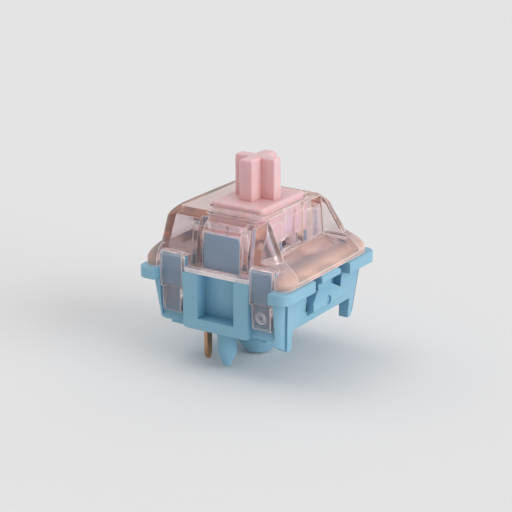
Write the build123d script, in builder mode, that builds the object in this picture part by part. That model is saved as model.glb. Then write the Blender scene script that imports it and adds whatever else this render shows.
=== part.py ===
from build123d import *
from math import radians, tan
import os

os.makedirs("parts", exist_ok=True)

# Mechanical keyboard switch with a clear upper housing. All sizes are in millimetres.
# The origin is on the centre post's axis, in the plane that seats on the circuit board.
# +Z is up along the stem, +Y is the terminal side and -Y is the side with the light recess.
# The latches that join the two housings are on the -X and +X sides.

# Mounting interface
plate_cutout = 14.0
cutout_clearance = 0.05
flange_lip = 0.85
flange_corner = 1.0
flange_z = 5.0
flange_thickness = 1.0
flange_return_y = 5.95
flange_edge_round = 0.12
lead_depth = 2.95
post_diameter = 4.0
post_tip_diameter = 2.5
post_taper = 1.1
post_depth = 2.7
post_flare = 0.2
peg_diameter = 1.7
peg_tip_diameter = 0.7
peg_taper = 1.2
peg_depth = 2.65
peg_spacing = 10.16
fixed_pin_x = -3.81
fixed_sheet_y = 2.9
leaf_pin_x = 2.54

# Lower housing
wall_draft = 5.0
tub_corner = 0.9
tub_foot_corner = 1.3
side_edge_z = 1.15
south_edge_z = 1.9
seat_half_x = 4.6
seat_south_y = -3.8
seat_north_y = 6.3
well_floor_z = 1.0
tub_floor_z = 1.7
south_floor_z = 2.7
well_half_x = 4.3
well_south_y = -3.5
tub_inner_half_x = 5.5
tub_inner_half_y = 5.6
south_step_width = 0.8
foot_length = 1.65
foot_width = 0.9
foot_chamfer = (1.1, 0.75)
groove_x = (5.65, 6.25)
groove_width = 0.3
groove_depth = 0.2
groove_stop = 0.3
light_window_x = 4.4
light_window_y = (-5.4, -3.6)
column_diameter = 3.2
column_bore_diameter = 2.0
column_top_z = 5.2
bore_floor_z = -1.9

# Side frame and guide tower
frame_half_y = 3.4
frame_corner = 0.35
frame_low_z = 0.88
frame_wall = 0.5
frame_mouth_half_y = 1.95
frame_mouth_low_z = 1.85
frame_mouth_draft = 0.12
tower_face_x = 5.7
tower_inner_x = 4.25
tower_half_y = 1.85
tower_top_z = 9.5
tower_corner = 0.5
rail_channel_depth = 0.7

# Latches between the housings
latch_half_y = (3.45, 5.9)
latch_gap = 0.07
latch_side_gap = 0.25
catch_face_x = 6.35
hook_pocket_x = 5.95
rim_inner_x = 5.55
rim_wall_top_z = 7.2
hook_line_z = 4.35
latch_leg_thickness = 0.53
latch_low_z = 2.0
pocket_ramp_z = (1.15, 2.6)
latch_foot_inset = 0.22
latch_chamfer = 0.25
shelf_top_z = 7.55
gate_mark_diameter = 1.0
gate_mark_line = 0.2
gate_mark_depth = 0.1
gate_mark_z = 3.2
latch_draft = 0.15
hook_lead_in = 1.2
shelf_root_x = 5.2
open_end = 1.0

# Plate clip on the north and south walls
clip_gap_half = 2.95
clip_pocket_z = 2.95
clip_pocket_y = 6.1
clip_root_depth = 0.4
clip_root_rise = 0.15
clip_head_step = 0.15
clip_head_round = 0.3
clip_edge_round = 0.1
clip_dimple_depth = 0.3
clip_back_y = 6.25
clip_face_y = 6.95
clip_bulge_y = 7.4
clip_head_y = 7.65
clip_head_half = 1.6
clip_neck_half = 1.1
clip_shoulder_half = 2.6
clip_shoulder_z = (3.0, 3.7)
clip_neck_z = (4.55, 5.15)
clip_dimple_diameter = 0.8

# Upper housing
skirt_inset_x = 0.8
skirt_inset_south = 0.4
skirt_inset_north = 0.2
skirt_corner = 0.95
skirt_top_z = 6.6
shoulder_z = 8.0
shoulder_half_x = 6.15
shoulder_south_y = -5.85
shoulder_north_y = 6.6
brow_z = 10.2
brow_half_x = 5.75
brow_south_y = -4.6
brow_north_y = 6.25
round_steps = 4
round_power = 1.6
roof_z = 11.3
roof_thickness = 1.0
roof_half_x = 4.9
roof_south_y = -3.8
roof_north_y = 5.3
roof_corner = 0.8
shell_wall = 0.95
hollow_north_y = 6.05
recess_half_top = 4.5
recess_half_low = 5.2
recess_ledge_inner_z = 7.65
recess_ledge_outer_z = 6.35
recess_wall_thickness = 0.7
recess_panel_half = 1.5
recess_panel_depth = 0.3
ledge_hollow_z = 6.4
ledge_hollow_half = 5.3
bay_half_y = 2.95
bay_edge_round = 0.3
bay_face_low_x = 6.4
bay_face_top_x = 6.05
bay_top_z = 10.2
bay_brow_z = 11.0
tower_gap = 0.12
rib_set_back = 0.1
strip_half_y = 3.25
strip_face_x = 6.85
strip_height = 0.4
guide_rib_y = (2.05, 2.75)
guide_rib_x = 4.3
foot_slot_x = (-2.05, -0.3)
foot_slot_z = (7.75, 8.7)
sprue_slot_x = (1.05, 1.5)

# Stem
travel = 4.0
stem_top_z = 15.45
pad_x = 7.2
pad_y = 5.5
pad_top_z = 11.75
pad_low_z = 10.7
pad_corner = 0.5
pad_round = 0.3
pad_gap = 0.16
cross_span = 4.05
cross_arm_x = 1.1
cross_arm_y = 1.3
cross_round = 0.18
stem_low_z = 8.3
stem_skirt_half_x = 3.55
stem_skirt_south_y = -2.7
stem_skirt_north_y = 2.62
stem_wall = 0.4
stem_panel_half = 1.4
stem_panel_depth = 0.12
rail_half_y = 1.3
rail_groove = 0.3
rail_round = 0.35
rail_low_z = 6.4
rail_gap = 0.1
rail_stop_gap = 0.05
pole_gap = 0.1
pole_root = 0.3
pole_tip_chamfer = 0.2
bottom_stop_gap = 0.05

# Contacts
sheet_thickness = 0.34
pin_width = 0.75
pin_tip = 0.3
pin_taper = 0.4
pin_slot_gap = 0.05
link_top_z = 1.5
fixed_strip_half = 0.7
fixed_strip_top_z = 6.55
contact_z = 6.2
contact_length = 0.9
contact_width = 0.36
contact_height = 0.26
contact_round = 0.08
contact_open_gap = 0.5
leaf_thickness = 0.14
leaf_half_x = 2.3
leaf_arm_inner_x = 1.3
leaf_window_low_z = 2.9
leaf_sheet_gap = 0.18
leaf_foot_gap = 0.11
leaf_foot_z = 1.35
leaf_bend_z = 5.6
leaf_top_z = 7.3
leaf_top_y = 4.3
tongue_half = 0.5
tongue_top_z = 6.75
follower_z = 6.6
follower_gap = 0.07
leaf_swing = 5.2
trough_half_x = 2.5
trough_floor_z = 1.25
trough_lip_z = 1.65
trough_lip_gap = 0.15
trough_lip_thickness = 0.2
leaf_back_top_z = 3.2
cam_x = (1.35, 2.25)
cam_low_z = 5.75
cam_face_y = 3.85
cam_lead_in = 0.3

# Return spring
spring_wire = 0.28
spring_diameter = 3.8
spring_end_turns = 1
spring_turns = 8
spring_coil_gap = 0.02

# Sizes that follow from those above
rim_z = flange_z + flange_thickness
tub_top_half = plate_cutout / 2 - cutout_clearance
flange_half = tub_top_half + flange_lip
flange_span = 2 * flange_half
tub_low_half = tub_top_half - (flange_z - side_edge_z) * tan(radians(wall_draft))
tub_foot_half = tub_top_half - flange_z * tan(radians(wall_draft))
foot_inner_x = tub_foot_half - foot_length
groove_top_z = flange_z - groove_stop
leg_room_y = latch_half_y[1] + latch_side_gap
foot_north_y = foot_width - tub_foot_half
south_step_y = south_step_width - tub_inner_half_y
skirt_half_x = flange_half - skirt_inset_x
skirt_south_y = skirt_inset_south - flange_half
skirt_north_y = flange_half - skirt_inset_north
roof_under_z = roof_z - roof_thickness
recess_inner_y = roof_south_y + recess_wall_thickness
peg_x = peg_spacing / 2
pole_diameter = column_bore_diameter - 2 * pole_gap
pole_tip_z = bore_floor_z + travel + bottom_stop_gap
channel_back_x = tower_inner_x + rail_channel_depth
rail_face_x = channel_back_x - rail_gap
rail_top_z = roof_under_z - rail_stop_gap
fixed_face_y = fixed_sheet_y + sheet_thickness / 2
fixed_point_y = fixed_face_y + contact_height
follower_y = cam_face_y + follower_gap
moving_point_y = fixed_point_y + contact_open_gap
tongue_y = moving_point_y + contact_height + leaf_thickness / 2
leaf_sheet_y = min(tub_inner_half_y, clip_back_y) - leaf_sheet_gap - sheet_thickness / 2
leaf_foot_y = leaf_sheet_y - sheet_thickness / 2 - leaf_foot_gap - leaf_thickness / 2
trough_lip_back_y = leaf_foot_y - leaf_thickness / 2 - trough_lip_gap
trough_lip_front_y = trough_lip_back_y - trough_lip_thickness
lever = follower_z - leaf_foot_z
cam_slope = tan(radians(leaf_swing)) * lever / travel
tongue_lean = (leaf_foot_y - tongue_y) / (contact_z - leaf_foot_z)


def block(x, y, z, mode=Mode.ADD):
    """Add or cut a box between two values along each axis."""
    with Locations(((x[0] + x[1]) / 2, (y[0] + y[1]) / 2, (z[0] + z[1]) / 2)):
        Box(x[1] - x[0], y[1] - y[0], z[1] - z[0], mode=mode)


def outline(*points, mode=Mode.ADD):
    """Fill a closed outline in the sketch that is being built."""
    Polygon(*points, align=None, mode=mode)


def sheet_side(points, thickness):
    """Side outline of a thin upright sheet that follows a path of (y, z) points."""
    front = [(y - thickness / 2, z) for y, z in points]
    back = [(y + thickness / 2, z) for y, z in points]
    return front + back[::-1]


def between(low, high, z, z_low, z_high):
    """Straight-line value at height z between two levels."""
    return low + (high - low) * (z - z_low) / (z_high - z_low)


def rounding(low_z, low, high_z, high):
    """Levels that round over from one outline to a higher and smaller one."""
    levels = []
    for step in range(round_steps + 1):
        rise = step / round_steps
        values = [between(a, b, rise**round_power, 0, 1) for a, b in zip(low, high)]
        levels.append((between(low_z, high_z, rise, 0, 1), values))
    return levels


# Cuts in the lower housing's west wall: the frame's mouth and the pockets for two latches.
with BuildPart() as side_cuts:
    with BuildSketch(Plane.YZ.offset(-flange_half)):
        outline(
            (-frame_mouth_half_y, frame_mouth_low_z), (frame_mouth_half_y, frame_mouth_low_z),
            (frame_mouth_half_y, rim_z + open_end), (-frame_mouth_half_y, rim_z + open_end),
        )
    with BuildSketch(Plane.YZ.offset(-tower_face_x)):
        outline(
            (-frame_mouth_half_y + frame_mouth_draft, frame_mouth_low_z + frame_mouth_draft),
            (frame_mouth_half_y - frame_mouth_draft, frame_mouth_low_z + frame_mouth_draft),
            (frame_mouth_half_y - frame_mouth_draft, rim_z + open_end),
            (-frame_mouth_half_y + frame_mouth_draft, rim_z + open_end),
        )
    loft()
    for side in (-1, 1):
        near, far = sorted((side * latch_half_y[0], side * latch_half_y[1]))
        with BuildSketch(Plane.XZ.offset(-(near + far) / 2)):
            outline(
                (-flange_half, pocket_ramp_z[0]), (-tub_low_half, pocket_ramp_z[0]),
                (-hook_pocket_x, pocket_ramp_z[1]), (-hook_pocket_x, hook_line_z),
                (-catch_face_x, hook_line_z), (-catch_face_x, rim_wall_top_z + open_end),
                (-flange_half, rim_wall_top_z + open_end),
            )
        extrude(amount=(far - near) / 2, both=True)
    mirror(about=Plane.YZ)

# One plate clip on the south wall: a sprung tongue seen from the front, cut to its side outline.
clip_root_z = clip_pocket_z - clip_root_depth
clip_head_low_z = clip_neck_z[1] + clip_head_step
with BuildPart() as plate_clip:
    with BuildSketch(Plane.XZ.offset(clip_back_y)) as clip_front:
        outline(
            (-clip_shoulder_half, clip_root_z), (clip_shoulder_half, clip_root_z),
            (clip_shoulder_half, clip_shoulder_z[1]), (clip_neck_half, clip_neck_z[0]),
            (clip_neck_half, clip_neck_z[1]), (clip_head_half, clip_head_low_z),
            (clip_head_half, rim_z), (-clip_head_half, rim_z),
            (-clip_head_half, clip_head_low_z), (-clip_neck_half, clip_neck_z[1]),
            (-clip_neck_half, clip_neck_z[0]), (-clip_shoulder_half, clip_shoulder_z[1]),
        )
        fillet(clip_front.vertices().group_by(Axis.Y)[-1], clip_head_round)
    extrude(amount=clip_head_y - clip_back_y)
    with BuildSketch(Plane.YZ):
        outline(
            (-clip_back_y, clip_root_z), (-clip_back_y, rim_z), (2 * clip_edge_round - clip_head_y, rim_z),
            (-clip_head_y, rim_z - 2 * clip_edge_round), (-clip_head_y, clip_head_low_z + clip_edge_round),
            (-clip_face_y, clip_neck_z[1]), (-clip_face_y, clip_neck_z[0]),
            (-clip_bulge_y, clip_shoulder_z[1] - clip_edge_round), (-clip_bulge_y, clip_shoulder_z[0]),
            (clip_root_rise - clip_face_y, clip_root_z),
        )
    extrude(amount=clip_shoulder_half, both=True, mode=Mode.INTERSECT)
    with Locations(Plane.XZ.offset(clip_bulge_y)):
        with Locations((0, (clip_shoulder_z[0] + clip_shoulder_z[1]) / 2)):
            Cylinder(clip_dimple_diameter / 2, clip_dimple_depth, mode=Mode.SUBTRACT)

with BuildPart() as bottom_housing:
    # Drafted tub, with its lower edge raised everywhere but at the two south feet
    for z, half, corner in ((0, tub_foot_half, tub_foot_corner), (flange_z, tub_top_half, tub_corner)):
        with BuildSketch(Plane.XY.offset(z)):
            RectangleRounded(2 * half, 2 * half, corner)
    loft()
    block((-flange_half, flange_half), (foot_north_y, flange_half), (0, side_edge_z), Mode.SUBTRACT)
    block((-foot_inner_x, foot_inner_x), (-flange_half, foot_north_y), (0, south_edge_z), Mode.SUBTRACT)
    for side in (-1, 1):
        with BuildSketch(Plane.XZ):
            outline(
                (side * (tub_foot_half - foot_chamfer[0]), 0), (side * flange_half, 0),
                (side * flange_half, foot_chamfer[1]), (side * tub_foot_half, foot_chamfer[1]),
            )
        extrude(amount=flange_half, both=True, mode=Mode.SUBTRACT)
    # Flange, and the flat seat on the circuit board
    with BuildSketch(Plane.XY.offset(flange_z)):
        RectangleRounded(flange_span, flange_span, flange_corner)
        for side in (-1, 1):
            with Locations((side * (tub_top_half + flange_span) / 2, 0)):
                Rectangle(flange_span - tub_top_half, 2 * flange_return_y, mode=Mode.SUBTRACT)
    extrude(amount=flange_thickness)
    fillet(bottom_housing.faces().sort_by(Axis.Z)[-1].outer_wire().edges(), flange_edge_round)
    block((-seat_half_x, seat_half_x), (seat_south_y, seat_north_y), (0, side_edge_z))
    # Upright frames in the middle of the west and east walls
    for side in (-1, 1):
        with BuildSketch(Plane.YZ.offset(side * tub_top_half)):
            with Locations((0, (frame_low_z + rim_z) / 2)):
                RectangleRounded(2 * frame_half_y, rim_z - frame_low_z, frame_corner)
            with Locations((0, rim_z - frame_corner)):
                Rectangle(2 * frame_half_y, 2 * frame_corner)
        extrude(amount=-side * frame_wall)
    # Inside: deep well round the spring, shallower floor at the walls, raised floor at the south
    block(
        (-well_half_x, well_half_x), (well_south_y, tub_inner_half_y),
        (well_floor_z, rim_z), mode=Mode.SUBTRACT,
    )
    block(
        (-tub_inner_half_x, tub_inner_half_x), (south_step_y, tub_inner_half_y),
        (tub_floor_z, rim_z), mode=Mode.SUBTRACT,
    )
    block(
        (-tub_inner_half_x, tub_inner_half_x), (-tub_inner_half_y, south_step_y),
        (south_floor_z, rim_z), mode=Mode.SUBTRACT,
    )
    # Latch pockets and frame mouths, then the walls and towers that rise above the rim
    for side in (-1, 1):
        for end in (-1, 1):
            wall_y = sorted((end * latch_half_y[0], end * latch_half_y[1]))
            wall_x = sorted((side * rim_inner_x, side * catch_face_x))
            block(wall_x, wall_y, (flange_z, rim_wall_top_z))
    add(side_cuts.part, mode=Mode.SUBTRACT)
    for side in (-1, 1):
        with BuildSketch(Plane.YZ.offset(side * tower_inner_x)) as tower_front:
            with Locations((0, (well_floor_z + tower_top_z) / 2)):
                Rectangle(2 * tower_half_y, tower_top_z - well_floor_z)
            fillet(tower_front.vertices().group_by(Axis.Y)[-1], tower_corner)
        extrude(amount=side * (tower_face_x - tower_inner_x))
        channel_x = sorted((side * tower_inner_x, side * channel_back_x))
        block(
            channel_x, (-rail_half_y - rail_gap, rail_half_y + rail_gap),
            (tub_floor_z, tower_top_z), mode=Mode.SUBTRACT,
        )
    # Plate clips in the gaps of the north and south flanges
    for side in (-1, 1):
        pocket_y = sorted((side * clip_pocket_y, side * flange_span))
        block(
            (-clip_gap_half, clip_gap_half), pocket_y, (clip_pocket_z, rim_z), mode=Mode.SUBTRACT,
        )
    add(plate_clip.part)
    add(plate_clip.part.mirror(Plane.XZ))
    # Grooves beside the south corners, which follow the drafted wall and lean outward
    for side in (-1, 1):
        for z, x in ((0, groove_x[0]), (groove_top_z, groove_x[1])):
            with BuildSketch(Plane.XY.offset(z)):
                with Locations((side * x, -between(tub_foot_half, tub_top_half, z, 0, flange_z))):
                    Rectangle(groove_width, 2 * groove_depth)
        loft(mode=Mode.SUBTRACT)
    # Spring column, centre post and fixing pegs
    with Locations((0, 0, (well_floor_z + column_top_z) / 2)):
        Cylinder(column_diameter / 2, column_top_z - well_floor_z)
    for x, root_z, diameter, tip, taper, depth in (
        (0, well_floor_z, post_diameter, post_tip_diameter, post_taper, post_depth),
        (-peg_x, side_edge_z, peg_diameter, peg_tip_diameter, peg_taper, peg_depth),
        (peg_x, side_edge_z, peg_diameter, peg_tip_diameter, peg_taper, peg_depth),
    ):
        with BuildSketch(Plane.XZ):
            outline(
                (x, root_z), (x + diameter / 2 + post_flare, root_z), (x + diameter / 2, 0),
                (x + diameter / 2, taper - depth), (x + tip / 2, -depth), (x, -depth),
            )
        revolve(axis=Axis((x, 0, 0), (0, 0, 1)))
    with Locations((0, 0, (bore_floor_z + column_top_z) / 2)):
        Cylinder(column_bore_diameter / 2, column_top_z - bore_floor_z, mode=Mode.SUBTRACT)
    # Light window and the two terminal slots through the floor
    block((-light_window_x / 2, light_window_x / 2), light_window_y, (0, south_floor_z), Mode.SUBTRACT)
    for pin_x, sheet_y in ((fixed_pin_x, fixed_sheet_y), (leaf_pin_x, leaf_sheet_y)):
        half_x = pin_width / 2 + pin_slot_gap
        half_y = sheet_thickness / 2 + pin_slot_gap
        block(
            (pin_x - half_x, pin_x + half_x), (sheet_y - half_y, sheet_y + half_y),
            (0, tub_floor_z), mode=Mode.SUBTRACT,
        )
bottom_housing.part.label = "bottom_housing"
export_step(bottom_housing.part, "parts/bottom_housing.step")


# Space of the light recess in the south side, above its sloping ledge.
with BuildPart() as light_recess:
    for z, half in ((recess_ledge_outer_z, recess_half_low), (roof_z, recess_half_top)):
        with BuildSketch(Plane.XY.offset(z)):
            with Locations((0, (roof_south_y - flange_span) / 2)):
                Rectangle(2 * half, flange_span + roof_south_y)
    loft()
    with BuildSketch(Plane.YZ):
        outline(
            (skirt_south_y, recess_ledge_outer_z), (roof_south_y, recess_ledge_inner_z),
            (roof_south_y, roof_z), (-flange_span, roof_z), (-flange_span, recess_ledge_outer_z),
        )
    extrude(amount=recess_half_low, both=True, mode=Mode.INTERSECT)

# A side bay over one guide tower, with rounded front edges.
with BuildPart() as side_bay:
    with BuildSketch(Plane.XZ):
        outline(
            (-guide_rib_x, rim_z), (-bay_face_low_x, rim_z), (-bay_face_top_x, bay_top_z),
            (-roof_half_x, bay_brow_z), (-guide_rib_x, bay_brow_z),
        )
    extrude(amount=bay_half_y, both=True)
    fillet(side_bay.edges().filter_by(Axis.Y, reverse=True).group_by(Axis.X)[0], bay_edge_round)

# One latch leg on the west side: shelf and leg at full width, then the narrower hook below the catch.
with BuildPart() as latch_legs:
    leg_inner_x = catch_face_x + latch_gap
    leg_outer_x = leg_inner_x + latch_leg_thickness
    shelf_under_z = rim_wall_top_z + latch_gap
    leg_low_z = hook_line_z - latch_gap
    leg_half = (latch_half_y[1] - latch_half_y[0]) / 2 - latch_gap
    leg_y = (latch_half_y[0] + latch_half_y[1]) / 2
    for side in (-1, 1):
        with BuildSketch(Plane.XZ.offset(-side * leg_y)):
            outline(
                (-leg_inner_x, leg_low_z), (-leg_inner_x, shelf_under_z), (-shelf_root_x, shelf_under_z),
                (-shelf_root_x, shelf_top_z), (latch_chamfer - leg_outer_x, shelf_top_z),
                (-leg_outer_x, shelf_top_z - latch_chamfer), (-leg_outer_x + latch_draft / 2, leg_low_z),
            )
        extrude(amount=leg_half, both=True)
        with BuildSketch(Plane.XZ.offset(-side * leg_y)):
            outline(
                (-hook_pocket_x - latch_gap, leg_low_z), (-leg_outer_x + latch_draft / 2, leg_low_z),
                (-leg_outer_x + latch_draft, latch_low_z + latch_chamfer),
                (-leg_outer_x + latch_draft + latch_chamfer / 2, latch_low_z),
                (-leg_inner_x, latch_low_z), (-hook_pocket_x - latch_gap, latch_low_z + hook_lead_in),
            )
        extrude(amount=leg_half - latch_foot_inset, both=True)
    mirror(about=Plane.YZ)

with BuildPart() as top_housing:
    # Outer shell: skirt, rounded shoulder, leaning walls and rounded brow
    skirt = (skirt_half_x, skirt_south_y, skirt_north_y, skirt_corner)
    shoulder = (shoulder_half_x, shoulder_south_y, shoulder_north_y, skirt_corner)
    brow = (brow_half_x, brow_south_y, brow_north_y, skirt_corner)
    roof = (roof_half_x, roof_south_y, roof_north_y, roof_corner)
    for levels in (
        [(rim_z, skirt), (skirt_top_z, skirt)],
        rounding(skirt_top_z, skirt, shoulder_z, shoulder),
        [(shoulder_z, shoulder), (brow_z, brow)],
        rounding(brow_z, brow, roof_z, roof),
    ):
        for z, (half_x, south, north, corner) in levels:
            with BuildSketch(Plane.XY.offset(z)):
                with Locations((0, (south + north) / 2)):
                    RectangleRounded(2 * half_x, north - south, corner)
        loft()
    # The skirt is set back between its corners, behind the latch legs
    for side in (-1, 1):
        set_back_x = sorted((side * shoulder_half_x, side * flange_half))
        block(set_back_x, (-leg_room_y, leg_room_y), (rim_z, shoulder_z), mode=Mode.SUBTRACT)
    add(side_bay.part)
    add(side_bay.part.mirror(Plane.YZ))
    block((-strip_face_x, strip_face_x), (-strip_half_y, strip_half_y), (rim_z, rim_z + strip_height))
    # Light recess and its set-back panel
    add(light_recess.part, mode=Mode.SUBTRACT)
    block(
        (-recess_panel_half, recess_panel_half), (roof_south_y, roof_south_y + recess_panel_depth),
        (recess_ledge_inner_z, roof_z), mode=Mode.SUBTRACT,
    )
    # Hollow inside
    for z, half_x, north in (
        (rim_z, rim_inner_x, hollow_north_y),
        (roof_under_z, brow_half_x - shell_wall, brow_north_y - shell_wall),
    ):
        with BuildSketch(Plane.XY.offset(z)):
            with Locations((0, (recess_inner_y + north) / 2)):
                Rectangle(2 * half_x, north - recess_inner_y)
    loft(mode=Mode.SUBTRACT)
    block(
        (-ledge_hollow_half, ledge_hollow_half), (shell_wall + skirt_south_y, recess_inner_y),
        (rim_z, ledge_hollow_z), mode=Mode.SUBTRACT,
    )
    for side in (-1, 1):
        with BuildSketch(Plane.XZ):
            outline(
                (side * tower_inner_x, rim_z), (side * (tower_face_x + tower_gap), rim_z),
                (side * (tower_face_x + tower_gap), tower_top_z + tower_gap),
                (side * channel_back_x, roof_under_z), (side * tower_inner_x, roof_under_z),
            )
        extrude(amount=tower_half_y + tower_gap, both=True, mode=Mode.SUBTRACT)
        # Guide ribs on both sides of each tower
        for end in (-1, 1):
            rib_x = sorted((side * guide_rib_x, side * (tower_face_x - rib_set_back)))
            rib_y = sorted((end * guide_rib_y[0], end * guide_rib_y[1]))
            block(rib_x, rib_y, (rim_z, roof_under_z))
    # Stem opening in the roof
    with BuildSketch(Plane.XY.offset(roof_under_z)):
        RectangleRounded(pad_x + 2 * pad_gap, pad_y + 2 * pad_gap, pad_corner + pad_gap)
    extrude(amount=roof_thickness, mode=Mode.SUBTRACT)
    # Slots at the foot of the recess wall
    for slot_x in (foot_slot_x, sprue_slot_x):
        block(slot_x, (roof_south_y, recess_inner_y), foot_slot_z, mode=Mode.SUBTRACT)
    # Room for the lower housing's catches, then the latch legs in front of them
    for side in (-1, 1):
        for end in (-1, 1):
            room_x = sorted((side * shelf_root_x, side * flange_half))
            room_y = sorted((end * (latch_half_y[0] - latch_gap), end * leg_room_y))
            block(room_x, room_y, (rim_z, rim_wall_top_z + latch_gap), mode=Mode.SUBTRACT)
    add(latch_legs.part)
    with BuildSketch(Plane.YZ.offset(-flange_half)):
        with Locations((-leg_y, gate_mark_z)):
            Circle(gate_mark_diameter / 2)
            Circle(gate_mark_diameter / 2 - gate_mark_line, mode=Mode.SUBTRACT)
    extrude(amount=flange_half - leg_outer_x + latch_draft + gate_mark_depth, mode=Mode.SUBTRACT)
top_housing.part.label = "top_housing"
export_step(top_housing.part, "parts/top_housing.step")

with BuildPart() as stem:
    with BuildSketch(Plane.XY.offset(stem_low_z)):
        with Locations((0, (stem_skirt_south_y + stem_skirt_north_y) / 2)):
            RectangleRounded(2 * stem_skirt_half_x, stem_skirt_north_y - stem_skirt_south_y, pad_corner)
    extrude(amount=pad_low_z - stem_low_z)
    with BuildSketch(Plane.XY.offset(pad_low_z)):
        RectangleRounded(pad_x, pad_y, pad_corner)
    extrude(amount=pad_top_z - pad_low_z)
    fillet(stem.faces().sort_by(Axis.Z)[-1].edges(), pad_round)
    # Set-back panel on the south face, which shows through the light recess
    block(
        (-stem_panel_half, stem_panel_half), (stem_skirt_south_y, stem_skirt_south_y + stem_panel_depth),
        (stem_low_z, pad_low_z), mode=Mode.SUBTRACT,
    )
    # Guide rails, two rounded fingers on each side
    finger_root_x = stem_skirt_half_x - stem_wall
    for side in (-1, 1):
        with BuildSketch(Plane.YZ.offset(side * finger_root_x)) as fingers:
            for end in (-1, 1):
                with Locations((end * (rail_half_y + rail_groove / 2) / 2, (rail_low_z + rail_top_z) / 2)):
                    Rectangle(rail_half_y - rail_groove / 2, rail_top_z - rail_low_z)
            fillet(fingers.vertices().group_by(Axis.Y)[-1], rail_round)
        extrude(amount=side * (rail_face_x - finger_root_x))
    # Cam legs that hold the contact leaf open
    for side in (-1, 1):
        with BuildSketch(Plane.YZ.offset(side * (cam_x[0] + cam_x[1]) / 2)):
            outline(
                (stem_skirt_north_y - stem_wall / 2, rail_top_z),
                (cam_face_y - cam_slope * (rail_top_z - follower_z), rail_top_z),
                (cam_face_y, follower_z), (cam_face_y, cam_low_z + cam_lead_in),
                (cam_face_y - cam_lead_in, cam_low_z), (stem_skirt_north_y - stem_wall / 2, cam_low_z),
            )
        extrude(amount=(cam_x[1] - cam_x[0]) / 2, both=True)
    # Hollow for the spring, with the pole in its middle
    with BuildSketch(Plane.XY.offset(rail_low_z)):
        with Locations((0, (stem_skirt_south_y + stem_skirt_north_y) / 2)):
            Rectangle(
                2 * (stem_skirt_half_x - stem_wall),
                stem_skirt_north_y - stem_skirt_south_y - 2 * stem_wall,
            )
    extrude(amount=pad_low_z - rail_low_z, mode=Mode.SUBTRACT)
    with BuildSketch(Plane.XZ):
        outline(
            (0, pole_tip_z), (pole_diameter / 2 - pole_tip_chamfer, pole_tip_z),
            (pole_diameter / 2, pole_tip_z + pole_tip_chamfer), (pole_diameter / 2, pad_low_z - pole_root),
            (pole_diameter / 2 + pole_root, pad_low_z), (0, pad_low_z),
        )
    revolve(axis=Axis.Z)
    # Cross for the keycap
    with BuildSketch(Plane.XY.offset(pad_top_z)):
        Rectangle(cross_arm_x, cross_span)
        Rectangle(cross_span, cross_arm_y)
    extrude(amount=stem_top_z - pad_top_z)
    fillet(stem.faces().sort_by(Axis.Z)[-1].edges(), cross_round)
stem.part.label = "stem"
export_step(stem.part, "parts/stem.step")

with BuildPart() as fixed_terminal:
    left, right = fixed_pin_x - pin_width / 2, fixed_pin_x + pin_width / 2
    with BuildSketch(Plane.XZ.offset(-fixed_sheet_y)):
        outline(
            (left, pin_taper - lead_depth), (fixed_pin_x - pin_tip / 2, -lead_depth),
            (fixed_pin_x + pin_tip / 2, -lead_depth), (right, pin_taper - lead_depth),
            (right, well_floor_z), (fixed_strip_half, well_floor_z),
            (fixed_strip_half, fixed_strip_top_z), (-fixed_strip_half, fixed_strip_top_z),
            (-fixed_strip_half, link_top_z), (right, link_top_z),
            (right, leaf_back_top_z), (left, leaf_back_top_z),
        )
    extrude(amount=sheet_thickness / 2, both=True)
fixed_terminal.part.label = "fixed_terminal"
export_step(fixed_terminal.part, "parts/fixed_terminal.step")

with BuildPart() as fixed_contact_point:
    with BuildSketch(Plane.YZ) as contact_side:
        with Locations((fixed_face_y, contact_z)):
            Rectangle(contact_height, contact_width, align=(Align.MIN, Align.CENTER))
        fillet(contact_side.vertices().group_by(Axis.X)[-1], contact_round)
    extrude(amount=contact_length / 2, both=True)
fixed_contact_point.part.label = "fixed_contact_point"
export_step(fixed_contact_point.part, "parts/fixed_contact_point.step")

with BuildPart() as leaf_terminal:
    left, right = leaf_pin_x - pin_width / 2, leaf_pin_x + pin_width / 2
    with BuildSketch(Plane.XZ.offset(-leaf_sheet_y)):
        outline(
            (left, pin_taper - lead_depth), (leaf_pin_x - pin_tip / 2, -lead_depth),
            (leaf_pin_x + pin_tip / 2, -lead_depth), (right, pin_taper - lead_depth),
            (right, leaf_back_top_z), (-trough_half_x, leaf_back_top_z),
            (-trough_half_x, well_floor_z), (left, well_floor_z),
        )
    extrude(amount=sheet_thickness / 2, both=True)
    # Folded trough that carries the lower edge of the leaf
    with BuildSketch(Plane.YZ):
        outline(
            (trough_lip_front_y, well_floor_z), (leaf_sheet_y, well_floor_z),
            (leaf_sheet_y, trough_floor_z), (trough_lip_back_y, trough_floor_z),
            (trough_lip_back_y, trough_lip_z), (trough_lip_front_y, trough_lip_z),
        )
    extrude(amount=trough_half_x, both=True)
leaf_terminal.part.label = "leaf_terminal"
export_step(leaf_terminal.part, "parts/leaf_terminal.step")

with BuildPart() as contact_leaf:
    bend_y = leaf_foot_y - tongue_lean * (leaf_bend_z - leaf_foot_z)
    with BuildSketch(Plane.YZ):
        outline(*sheet_side(
            [
                (leaf_foot_y, leaf_foot_z), (bend_y, leaf_bend_z),
                (follower_y + leaf_thickness / 2, follower_z), (leaf_top_y, leaf_top_z),
            ],
            leaf_thickness,
        ))
    extrude(amount=leaf_half_x, both=True)
    block(
        (-leaf_arm_inner_x, leaf_arm_inner_x), (roof_south_y, tub_inner_half_y),
        (leaf_window_low_z, leaf_top_z), mode=Mode.SUBTRACT,
    )
    with BuildSketch(Plane.YZ):
        outline(*sheet_side(
            [
                (leaf_foot_y, leaf_foot_z),
                (leaf_foot_y - tongue_lean * (tongue_top_z - leaf_foot_z), tongue_top_z),
            ],
            leaf_thickness,
        ))
    extrude(amount=tongue_half, both=True)
contact_leaf.part.label = "contact_leaf"
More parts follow.
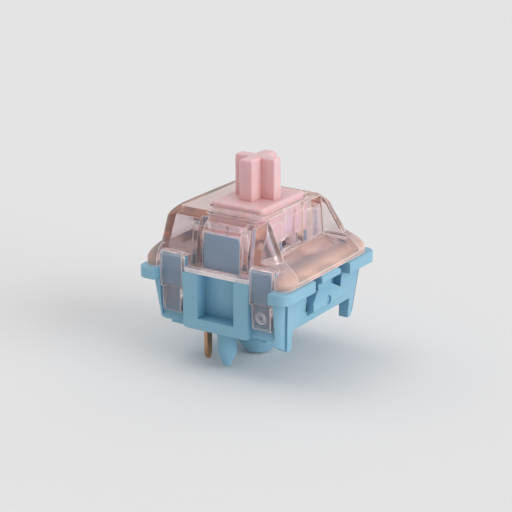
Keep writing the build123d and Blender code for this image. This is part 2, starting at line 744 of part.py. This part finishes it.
export_step(contact_leaf.part, "parts/contact_leaf.step")

with BuildPart() as moving_contact_point:
    with BuildSketch(Plane.YZ):
        low_z, high_z = contact_z - contact_length / 2, contact_z + contact_length / 2
        low_y = leaf_foot_y - tongue_lean * (low_z - leaf_foot_z) - leaf_thickness / 2
        high_y = leaf_foot_y - tongue_lean * (high_z - leaf_foot_z) - leaf_thickness / 2
        outline(
            (low_y, low_z), (high_y, high_z), (high_y - contact_height, high_z - contact_round),
            (low_y - contact_height, low_z + contact_round),
        )
    extrude(amount=contact_width / 2, both=True)
moving_contact_point.part.label = "moving_contact_point"
export_step(moving_contact_point.part, "parts/moving_contact_point.step")

with BuildPart() as return_spring:
    coil_low_z = well_floor_z + spring_wire / 2
    coil_high_z = pad_low_z - spring_wire / 2
    end_pitch = spring_wire + spring_coil_gap
    end_height = end_pitch * spring_end_turns
    active_height = coil_high_z - coil_low_z - 2 * end_height
    with BuildLine() as coil:
        Helix(end_pitch, end_height, spring_diameter / 2, center=(0, 0, coil_low_z))
        Helix(
            active_height / spring_turns, active_height, spring_diameter / 2,
            center=(0, 0, coil_low_z + end_height),
        )
        Helix(end_pitch, end_height, spring_diameter / 2, center=(0, 0, coil_high_z - end_height))
    with BuildSketch(Plane(origin=coil.line @ 0, z_dir=coil.line % 0)):
        Circle(spring_wire / 2)
    sweep()
return_spring.part.label = "return_spring"
export_step(return_spring.part, "parts/return_spring.step")
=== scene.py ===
from math import cos, pi, radians, sin
import bpy
from mathutils import Matrix, Vector


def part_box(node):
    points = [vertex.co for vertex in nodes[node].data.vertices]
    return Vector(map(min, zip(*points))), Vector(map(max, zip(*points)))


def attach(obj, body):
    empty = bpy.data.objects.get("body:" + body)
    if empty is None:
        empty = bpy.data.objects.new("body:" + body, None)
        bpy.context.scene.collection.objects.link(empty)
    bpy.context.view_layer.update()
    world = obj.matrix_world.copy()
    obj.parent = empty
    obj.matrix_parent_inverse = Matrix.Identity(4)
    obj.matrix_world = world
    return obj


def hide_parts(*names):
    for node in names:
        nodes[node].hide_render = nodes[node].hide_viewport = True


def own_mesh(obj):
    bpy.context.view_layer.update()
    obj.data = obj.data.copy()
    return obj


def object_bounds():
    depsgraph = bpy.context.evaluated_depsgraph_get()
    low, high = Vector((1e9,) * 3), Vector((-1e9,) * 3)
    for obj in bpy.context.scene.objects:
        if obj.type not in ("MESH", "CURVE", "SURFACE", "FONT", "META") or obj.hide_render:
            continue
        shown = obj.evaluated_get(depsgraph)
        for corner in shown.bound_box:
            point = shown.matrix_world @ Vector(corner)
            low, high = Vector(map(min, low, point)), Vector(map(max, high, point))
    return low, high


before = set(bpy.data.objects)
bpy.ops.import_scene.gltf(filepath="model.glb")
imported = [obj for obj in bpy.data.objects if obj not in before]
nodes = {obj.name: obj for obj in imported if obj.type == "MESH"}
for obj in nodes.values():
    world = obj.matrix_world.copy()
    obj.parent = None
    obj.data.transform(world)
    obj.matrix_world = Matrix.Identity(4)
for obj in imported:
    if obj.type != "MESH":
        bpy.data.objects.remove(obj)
cadBox = [list(corner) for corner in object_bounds()]
mm = 0.001
lowPoint = cadBox[0][2]  # the tips of the pins stand on the floor
print("frame loaded:", len(nodes), "nodes")


# Shader maths: a wrapped socket adds its own nodes when it is used in an expression.
class Wave:
    def __init__(self, sheet, socket):
        self.sheet, self.socket = sheet, socket

    def join(self, operation, *values, clamp=False):
        links = {i: value for i, value in enumerate(values)}
        return self.sheet.add("ShaderNodeMath", {"operation": operation, "use_clamp": clamp}, links)

    def __add__(self, other): return self.join("ADD", self, other)
    def __radd__(self, other): return self.join("ADD", other, self)
    def __sub__(self, other): return self.join("SUBTRACT", self, other)
    def __rsub__(self, other): return self.join("SUBTRACT", other, self)
    def __mul__(self, other): return self.join("MULTIPLY", self, other)
    def __rmul__(self, other): return self.join("MULTIPLY", other, self)
    def __truediv__(self, other): return self.join("DIVIDE", self, other)
    def __pow__(self, other): return self.join("POWER", self, other)

    def clamped(self): return self.join("ADD", self, 0.0, clamp=True)
    def size(self): return self.join("ABSOLUTE", self)


class Sheet:
    def __init__(self, tree):
        self.tree = tree

    def add(self, kind, settings=None, links=None, out=0):
        node = self.tree.nodes.new(kind)
        for name, value in (settings or {}).items():
            setattr(node, name, value)
        for name, value in (links or {}).items():
            if isinstance(value, Wave):
                self.tree.links.new(value.socket, node.inputs[name])
            else:
                node.inputs[name].default_value = value
        return Wave(self, node.outputs[out])

    def split(self, vector):
        node = self.add("ShaderNodeSeparateXYZ", None, {0: vector}).socket.node
        return [Wave(self, socket) for socket in node.outputs]

    def noise(self, place, scale, detail=3.0, rough=0.5):
        links = {"Vector": place, "Scale": scale, "Detail": detail, "Roughness": rough}
        return self.add("ShaderNodeTexNoise", None, links)

    def stretched(self, place, scale):
        return self.add("ShaderNodeMapping", None, {"Vector": place, "Scale": scale})

    def blend(self, share, low, high):
        links = {"Factor": share, 6: low, 7: high}
        return self.add("ShaderNodeMix", {"data_type": "RGBA"}, links, out=2)

    def softEdge(self, radius):
        return self.add("ShaderNodeBevel", {"samples": 4}, {"Radius": radius})

    def openness(self, reach):  # 1 on an open face, less in this piece's own recesses
        settings = {"samples": 8, "only_local": True}
        return self.add("ShaderNodeAmbientOcclusion", settings, {"Distance": reach}, out=1)

    def bump(self, height, depth, strength, edge=None):
        links = {"Height": height, "Distance": depth, "Strength": strength}
        if edge:
            links["Normal"] = self.softEdge(edge)
        return self.add("ShaderNodeBump", None, links)


def newMaterial(name):
    material = bpy.data.materials.new(name)
    material.use_nodes = True
    sheet = Sheet(material.node_tree)
    shader = material.node_tree.nodes["Principled BSDF"]
    place = sheet.add("ShaderNodeTexCoord", None, None, out=3)
    return material, sheet, shader, place


def setShader(sheet, shader, **values):
    for name, value in values.items():
        socket = shader.inputs[name.replace("_", " ")]
        if isinstance(value, Wave):
            sheet.tree.links.new(value.socket, socket)
        else:
            socket.default_value = value


def dress(nodeName, material):
    piece = nodes[nodeName]
    piece.data.materials.clear()
    piece.data.materials.append(material)


# Lower housing: light blue moulded nylon, with painted shade turning it a deeper blue in its recesses
blueShell = {
    "colour": (0.235, 0.46, 0.60), "deepColour": (0.18, 0.40, 0.54), "paleColour": (0.30, 0.53, 0.66),
    # painted shade colour for the recesses, and how far the occlusion reaches
    "paintedShadeColour": (0.07, 0.25, 0.40), "paintedShadeReach": 1.8 * mm,
    "flowScale": 260.0, "grainScale": 5200.0, "grainDepth": 0.012 * mm, "grainStrength": 0.22,
    "flowContrast": 1.6, "flowStart": 0.35, "flowShare": 0.45, "refraction": 1.5,
    "roughness": 0.42, "roughnessSpread": 0.14, "edgeRadius": 0.11 * mm,
    "glow": 0.12, "glowDepth": 0.6 * mm, "glowTint": (0.5, 0.9, 1.0),
}

material, sheet, shader, place = newMaterial("blueNylon")
flow = sheet.noise(place, blueShell["flowScale"], 4.0, 0.6)
grain = sheet.noise(place, blueShell["grainScale"], 2.0, 0.6)
depth = (flow * blueShell["flowContrast"] - blueShell["flowStart"]).clamped()
colour = sheet.blend(depth, (*blueShell["deepColour"], 1), (*blueShell["paleColour"], 1))
colour = sheet.blend(1 - blueShell["flowShare"], colour, (*blueShell["colour"], 1))
# painted shade: a dark blue laid into the piece's recesses by ambient occlusion
colour = sheet.blend(sheet.openness(blueShell["paintedShadeReach"]), (*blueShell["paintedShadeColour"], 1), colour)
setShader(
    sheet, shader, Base_Color=colour, IOR=blueShell["refraction"],
    Roughness=blueShell["roughness"] + (grain - 0.5) * blueShell["roughnessSpread"],
    Subsurface_Weight=blueShell["glow"], Subsurface_Radius=blueShell["glowTint"],
    Subsurface_Scale=blueShell["glowDepth"],
    Normal=sheet.bump(grain, blueShell["grainDepth"], blueShell["grainStrength"], blueShell["edgeRadius"]),
)
dress("bottom_housing", material)

# Upper housing: clear plastic with a pink tint, amber where it is seen along its walls, partly from its
# depth tint and partly from painted glow; with painted highlights on its edges
clearShell = {
    "tint": (0.92, 0.90, 0.96), "deepTint": (0.97, 0.76, 0.63), "density": 320.0, "clearness": 0.97,
    "rippleScale": 420.0, "rippleDepth": 0.006 * mm, "rippleStrength": 0.10, "smudgeScale": 900.0,
    "roughness": 0.03, "roughnessSpread": 0.03, "refraction": 1.46, "lampTint": (0.76, 0.77, 0.87),
    # painted glow: amber on walls seen at grazing angles
    "rimGlowColour": (0.96, 0.72, 0.60), "rimGlowShare": 0.58, "rimGlowWidth": 0.3,
    # painted glow on the thick ledge and at the foot of the long sides
    "ledgeGlowColour": (0.78, 0.65, 0.69), "ledgeGlowShare": 0.20,
    "ledgeGlowTop": 8.8 * mm, "ledgeGlowFrom": 3.9 * mm, "ledgeGlowFade": 0.7 * mm,
    "footGlowColour": (0.97, 0.62, 0.47), "footGlowShare": 0.38,
    "footGlowTop": 7.9 * mm, "footGlowFrom": 5.6 * mm, "footGlowFade": 1.1 * mm,
    "legInside": 6.3 * mm, "legEnd": 5.93 * mm,
    # painted highlight: a pale band on the bay's lip
    "lipGlintColour": (0.97, 0.90, 0.90), "lipGlintShare": 0.7, "lipTop": 6.42 * mm, "lipHalfWidth": 3.4 * mm,
    "cutSoftness": 0.06 * mm,
    # painted highlights along the edges
    "edgeColour": (0.99, 0.95, 0.96), "edgeShare": 0.85, "edgeGlintGain": 5.0, "edgeRadius": 0.15 * mm,
}


def layPaintedLight(plastic, name, mask):  # lays one of the clear plastic's painted light layers over it: a lit diffuse colour by a mask
    paintedLight = sheet.add("ShaderNodeBsdfDiffuse", None, {"Color": (*clearShell[name + "Colour"], 1)})
    links = {0: mask * clearShell[name + "Share"], 1: plastic, 2: paintedLight}
    return sheet.add("ShaderNodeMixShader", None, links)


def rise(distance, fade):  # 0 up to the line, 1 past its fade
    return (distance / clearShell[fade]).clamped()


material, sheet, shader, place = newMaterial("clearPinkPlastic")
ripple = sheet.noise(place, clearShell["rippleScale"], 2.0, 0.45)
smudge = sheet.noise(place, clearShell["smudgeScale"], 3.0, 0.5)
setShader(
    sheet, shader, Base_Color=(*clearShell["tint"], 1), IOR=clearShell["refraction"],
    Transmission_Weight=clearShell["clearness"],
    Roughness=(clearShell["roughness"] + (smudge - 0.5) * clearShell["roughnessSpread"]).clamped(),
    Normal=sheet.bump(ripple, clearShell["rippleDepth"], clearShell["rippleStrength"]),
)
plastic = Wave(sheet, shader.outputs[0])
# painted glow: walls seen along their length turn amber, by a lit diffuse layer at grazing angles
grazing = sheet.add("ShaderNodeLayerWeight", None, {"Blend": clearShell["rimGlowWidth"]}, out=1)
plastic = layPaintedLight(plastic, "rimGlow", grazing ** 2.0)
# painted glow, a lit diffuse layer where the plastic is thick: on the ledge and at the foot of the long
# sides; a painted highlight on the bay's lip
east, north, height = sheet.split(place)
side, across = east.size(), north.size()
offLegs = rise(clearShell["legInside"] - side, "cutSoftness")
pastLegs = rise(across - clearShell["legEnd"], "cutSoftness")
skirt = (offLegs + pastLegs).clamped()
for name in ("ledgeGlow", "footGlow"):
    below = rise(clearShell[name + "Top"] - height, name + "Fade")
    outside = rise(across - clearShell[name + "From"], name + "Fade")
    plastic = layPaintedLight(plastic, name, skirt * below * outside)
# painted highlight on the bay's lip
lipBelow = rise(clearShell["lipTop"] - height, "cutSoftness")
plastic = layPaintedLight(plastic, "lipGlint", lipBelow * rise(clearShell["lipHalfWidth"] - across, "cutSoftness"))
# painted highlights: a pale lit layer along the edges, where the rounded-edge normal turns away from the
# face
flat = sheet.add("ShaderNodeNewGeometry", None, None, out=1)
links = {0: sheet.softEdge(clearShell["edgeRadius"]), 1: flat}
turned = sheet.add("ShaderNodeVectorMath", {"operation": "DOT_PRODUCT"}, links, out=1)
plastic = layPaintedLight(plastic, "edge", ((1 - turned) * clearShell["edgeGlintGain"]).clamped())
# lamps shine straight through, so that the pieces inside are lit
lampRay = sheet.add("ShaderNodeLightPath", None, None, out=1)
lampWay = sheet.add("ShaderNodeBsdfTransparent", None, {"Color": (*clearShell["lampTint"], 1)})
plastic = sheet.add("ShaderNodeMixShader", None, {0: lampRay, 1: plastic, 2: lampWay})
links = {"Color": (*clearShell["deepTint"], 1), "Density": clearShell["density"]}
depthTint = sheet.add("ShaderNodeVolumeAbsorption", None, links)
output = material.node_tree.nodes["Material Output"]
sheet.tree.links.new(plastic.socket, output.inputs["Surface"])
sheet.tree.links.new(depthTint.socket, output.inputs["Volume"])
dress("top_housing", material)

# Stem: pale pink acetal that lets some light in, with painted shade making it redder in its corners
pinkStem = {
    "colour": (0.73, 0.475, 0.485), "paleColour": (0.795, 0.565, 0.575),
    # painted shade colour for the corners, and how far the occlusion reaches
    "paintedShadeColour": (0.74, 0.34, 0.33), "paintedShadeReach": 0.9 * mm,
    "flowScale": 300.0, "grainScale": 4200.0, "grainDepth": 0.008 * mm, "grainStrength": 0.16,
    "roughness": 0.36, "roughnessSpread": 0.12, "edgeRadius": 0.12 * mm, "refraction": 1.48,
    "glow": 0.6, "glowDepth": 1.1 * mm, "glowTint": (1.0, 0.35, 0.32),
}

material, sheet, shader, place = newMaterial("pinkAcetal")
flow = sheet.noise(place, pinkStem["flowScale"], 3.0, 0.55)
grain = sheet.noise(place, pinkStem["grainScale"], 2.0, 0.55)
colour = sheet.blend(flow, (*pinkStem["colour"], 1), (*pinkStem["paleColour"], 1))
# painted shade: a deeper red laid into the stem's corners by ambient occlusion
colour = sheet.blend(sheet.openness(pinkStem["paintedShadeReach"]), (*pinkStem["paintedShadeColour"], 1), colour)
setShader(
    sheet, shader, Base_Color=colour, IOR=pinkStem["refraction"],
    Roughness=pinkStem["roughness"] + (grain - 0.5) * pinkStem["roughnessSpread"],
    Subsurface_Weight=pinkStem["glow"], Subsurface_Radius=pinkStem["glowTint"],
    Subsurface_Scale=pinkStem["glowDepth"],
    Normal=sheet.bump(grain, pinkStem["grainDepth"], pinkStem["grainStrength"], pinkStem["edgeRadius"]),
)
dress("stem", material)

# Metal pieces: stamped copper alloy pins, rolled leaf and contact bars
metals = {
    "copperPins": {
        "colour": (0.50, 0.27, 0.15), "worn": (0.72, 0.45, 0.28), "roughness": 0.30,
        "streak": (700.0, 700.0, 60.0), "nodes": ("fixed_terminal", "leaf_terminal"),
    },
    "rolledLeaf": {
        "colour": (0.62, 0.36, 0.20), "worn": (0.78, 0.52, 0.33), "roughness": 0.24,
        "streak": (900.0, 900.0, 90.0), "nodes": ("contact_leaf",),
    },
    "contactGold": {
        "colour": (0.78, 0.60, 0.28), "worn": (0.88, 0.74, 0.44), "roughness": 0.22,
        "streak": (500.0, 500.0, 500.0), "nodes": ("fixed_contact_point", "moving_contact_point"),
    },
    "drawnSpringSteel": {
        "colour": (0.55, 0.56, 0.58), "worn": (0.74, 0.75, 0.77), "roughness": 0.26,
        "streak": (600.0, 600.0, 900.0), "nodes": (),
    },
}
metalSurface = {
    "lineScale": 9.0, "lineDepth": 0.01 * mm, "lineStrength": 0.25, "cloudScale": 500.0,
    "wearContrast": 1.8, "wearStart": 0.4, "roughnessSpread": 0.25, "edgeRadius": 0.05 * mm,
}


def metalFinish(name):
    look, surface = metals[name], metalSurface
    material, sheet, shader, place = newMaterial(name)
    lines = sheet.noise(sheet.stretched(place, look["streak"]), surface["lineScale"], 4.0, 0.65)
    cloudy = sheet.noise(place, surface["cloudScale"], 3.0, 0.6)
    wear = (cloudy * surface["wearContrast"] - surface["wearStart"]).clamped()
    setShader(
        sheet, shader, Metallic=1.0,
        Base_Color=sheet.blend(wear, (*look["colour"], 1), (*look["worn"], 1)),
        Roughness=look["roughness"] + (lines - 0.5) * surface["roughnessSpread"],
        Normal=sheet.bump(lines, surface["lineDepth"], surface["lineStrength"], surface["edgeRadius"]),
    )
    return material


finishes = {name: metalFinish(name) for name in metals}
for name, look in metals.items():
    for nodeName in look["nodes"]:
        dress(nodeName, finishes[name])
print("finishes ready on the carried-over nodes")

# Return spring: a wound wire with closed ends, in place of the plain CAD coil
springLow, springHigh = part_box("return_spring")
wireDiameter = 0.28 * mm
coil = {
    "Wire Diameter": wireDiameter, "Mean Diameter": springHigh.x - springLow.x - wireDiameter,
    "Active Turns": 8.0, "End Turns": 1.0, "Low Z": springLow.z, "High Z": springHigh.z,
}
coilSteps = 460
wireSides = 14
endPitch = 1.05  # wire diameters: the end turns lie on each other


def springTree(material):
    tree = bpy.data.node_groups.new("woundSpring", "GeometryNodeTree")
    tree.interface.new_socket("Geometry", in_out="OUTPUT", socket_type="NodeSocketGeometry")
    for name in coil:
        tree.interface.new_socket(name, in_out="INPUT", socket_type="NodeSocketFloat")
    sheet = Sheet(tree)
    entry = tree.nodes.new("NodeGroupInput")
    size = {name: Wave(sheet, entry.outputs[name]) for name in coil}
    wire, active, ends = size["Wire Diameter"], size["Active Turns"], size["End Turns"]
    low, high = size["Low Z"] + wire * 0.5, size["High Z"] - wire * 0.5

    line = sheet.add("GeometryNodeCurvePrimitiveLine", None, {"End": (0, 0, 1)})
    line = sheet.add("GeometryNodeResampleCurve", {"mode": "COUNT"}, {"Curve": line, "Count": coilSteps})
    turn = sheet.add("GeometryNodeSplineParameter") * (active + ends * 2)
    closedRise = wire * endPitch
    openRise = (high - low - closedRise * ends * 2) / active
    firstTurns = turn.join("MINIMUM", turn, ends)
    middleTurns = turn.join("MINIMUM", turn.join("MAXIMUM", turn - ends, 0.0), active)
    lastTurns = turn.join("MAXIMUM", turn - ends - active, 0.0)
    height = low + (firstTurns + lastTurns) * closedRise + middleTurns * openRise
    angle = turn * (2 * pi)
    radius = size["Mean Diameter"] * 0.5
    links = {"X": radius * angle.join("COSINE", angle), "Y": radius * angle.join("SINE", angle), "Z": height}
    turnPoint = sheet.add("ShaderNodeCombineXYZ", None, links)
    helix = sheet.add("GeometryNodeSetPosition", None, {"Geometry": line, "Position": turnPoint})
    links = {"Resolution": wireSides, "Radius": wire * 0.5}
    ring = sheet.add("GeometryNodeCurvePrimitiveCircle", None, links)
    links = {"Curve": helix, "Profile Curve": ring, "Fill Caps": True}
    tube = sheet.add("GeometryNodeCurveToMesh", None, links)
    tube = sheet.add("GeometryNodeSetShadeSmooth", None, {"Geometry": tube})
    tube = sheet.add("GeometryNodeRealizeInstances", None, {"Geometry": tube})
    tube = sheet.add("GeometryNodeSetMaterial", None, {"Geometry": tube, "Material": material})
    tree.links.new(tube.socket, tree.nodes.new("NodeGroupOutput").inputs["Geometry"])
    return tree


def bakeTree(tree, name, values):
    maker = bpy.data.objects.new(name + "Maker", bpy.data.meshes.new(name + "Seed"))
    bpy.context.scene.collection.objects.link(maker)
    modifier = maker.modifiers.new("shape", "NODES")
    modifier.node_group = tree
    for item in tree.interface.items_tree:
        if item.in_out == "INPUT" and item.name in values:
            modifier[item.identifier] = values[item.name]
    bpy.context.view_layer.update()
    shaped = maker.evaluated_get(bpy.context.evaluated_depsgraph_get())
    piece = bpy.data.objects.new(name, bpy.data.meshes.new_from_object(shaped))
    maker.modifiers.remove(modifier)
    bpy.data.objects.remove(maker)
    bpy.context.scene.collection.objects.link(piece)
    return piece


returnSpring = bakeTree(springTree(finishes["drawnSpringSteel"]), "returnSpring", coil)
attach(returnSpring, "housing")
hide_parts("return_spring")
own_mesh(returnSpring)
print("return spring wound:", len(returnSpring.data.vertices), "points")

# Floor, light and camera
studio = {
    "floorColour": (0.83, 0.83, 0.835), "floorSize": 3.0, "floorRoughness": 0.8,
    "worldStrength": 0.60, "worldLean": 0.12,
    "keyStrength": 1.8, "keyWidth": radians(48), "keyFrom": (0.0, -0.36, 0.12),
    "fillStrength": 0.6, "fillWidth": radians(48), "fillFrom": (0.0, 0.24, 0.32),
}

floorMesh = bpy.data.meshes.new("studioFloor")
half = studio["floorSize"] / 2
corners = [(-half, -half), (half, -half), (half, half), (-half, half)]
floorMesh.from_pydata([(x, y, lowPoint) for x, y in corners], [], [(0, 1, 2, 3)])
studioFloor = bpy.data.objects.new("studioFloor", floorMesh)
bpy.context.scene.collection.objects.link(studioFloor)
material, sheet, shader, place = newMaterial("paleFloor")
setShader(
    sheet, shader, Base_Color=(*studio["floorColour"], 1), Roughness=studio["floorRoughness"],
    Specular_IOR_Level=0.0,
)
floorMesh.materials.append(material)

world = bpy.data.worlds.new("studioWorld")
world.use_nodes = True
sheet = Sheet(world.node_tree)
background = world.node_tree.nodes["Background"]
background.inputs["Color"].default_value = (1, 1, 1, 1)
eastward = sheet.add("ShaderNodeSeparateXYZ", None, {0: sheet.add("ShaderNodeTexCoord")})
strength = eastward * studio["worldLean"] + studio["worldStrength"]  # a little darker on the latch side
sheet.tree.links.new(strength.socket, background.inputs["Strength"])
bpy.context.scene.world = world


def addLamp(name, origin, strength, width):  # a wide, distant softbox: the floor is lit evenly
    lamp = bpy.data.lights.new(name, "SUN")
    lamp.energy, lamp.angle = strength, width
    stand = bpy.data.objects.new(name, lamp)
    bpy.context.scene.collection.objects.link(stand)
    stand.location = origin
    stand.rotation_euler = (-Vector(origin)).to_track_quat("-Z", "Y").to_euler()


addLamp("keyLamp", studio["keyFrom"], studio["keyStrength"], studio["keyWidth"])
addLamp("fillLamp", studio["fillFrom"], studio["fillStrength"], studio["fillWidth"])

view = {
    "azimuth": radians(-57.1602), "elevation": radians(18.4178), "roll": radians(-0.0874),
    "distance": 160 * mm, "target": Vector((0, 0, 7 * mm)),
    "shiftRight": 0.192 * mm, "shiftUp": 0.8628 * mm,
    "focalPixels": 1789.5945, "imagePixels": 512, "sensorWidth": 36.0,
}
az, el = view["azimuth"], view["elevation"]
back = Vector((sin(az) * cos(el), -cos(az) * cos(el), sin(el)))
right = Vector((cos(az), sin(az), 0))
up = back.cross(right)
rolledRight = right * cos(view["roll"]) + up * sin(view["roll"])
rolledUp = up * cos(view["roll"]) - right * sin(view["roll"])
aside = rolledRight * view["shiftRight"] + rolledUp * view["shiftUp"]
spot = view["target"] + back * view["distance"] - aside
lens = bpy.data.cameras.new("studioCamera")
lens.sensor_width = view["sensorWidth"]
lens.lens = view["focalPixels"] * view["sensorWidth"] / view["imagePixels"]
lens.clip_start, lens.clip_end = 0.005, 10.0
camera = bpy.data.objects.new("studioCamera", lens)
bpy.context.scene.collection.objects.link(camera)
camera.matrix_world = Matrix((
    (rolledRight.x, rolledUp.x, back.x, spot.x), (rolledRight.y, rolledUp.y, back.y, spot.y),
    (rolledRight.z, rolledUp.z, back.z, spot.z), (0, 0, 0, 1),
))
bpy.context.scene.camera = camera
bpy.context.scene.view_settings.view_transform = "Standard"
lightBounces = 48  # light crosses many faces of the clear housing
for limit in ("max_bounces", "transmission_bounces", "glossy_bounces", "transparent_max_bounces"):
    setattr(bpy.context.scene.cycles, limit, lightBounces)
print("studio ready")
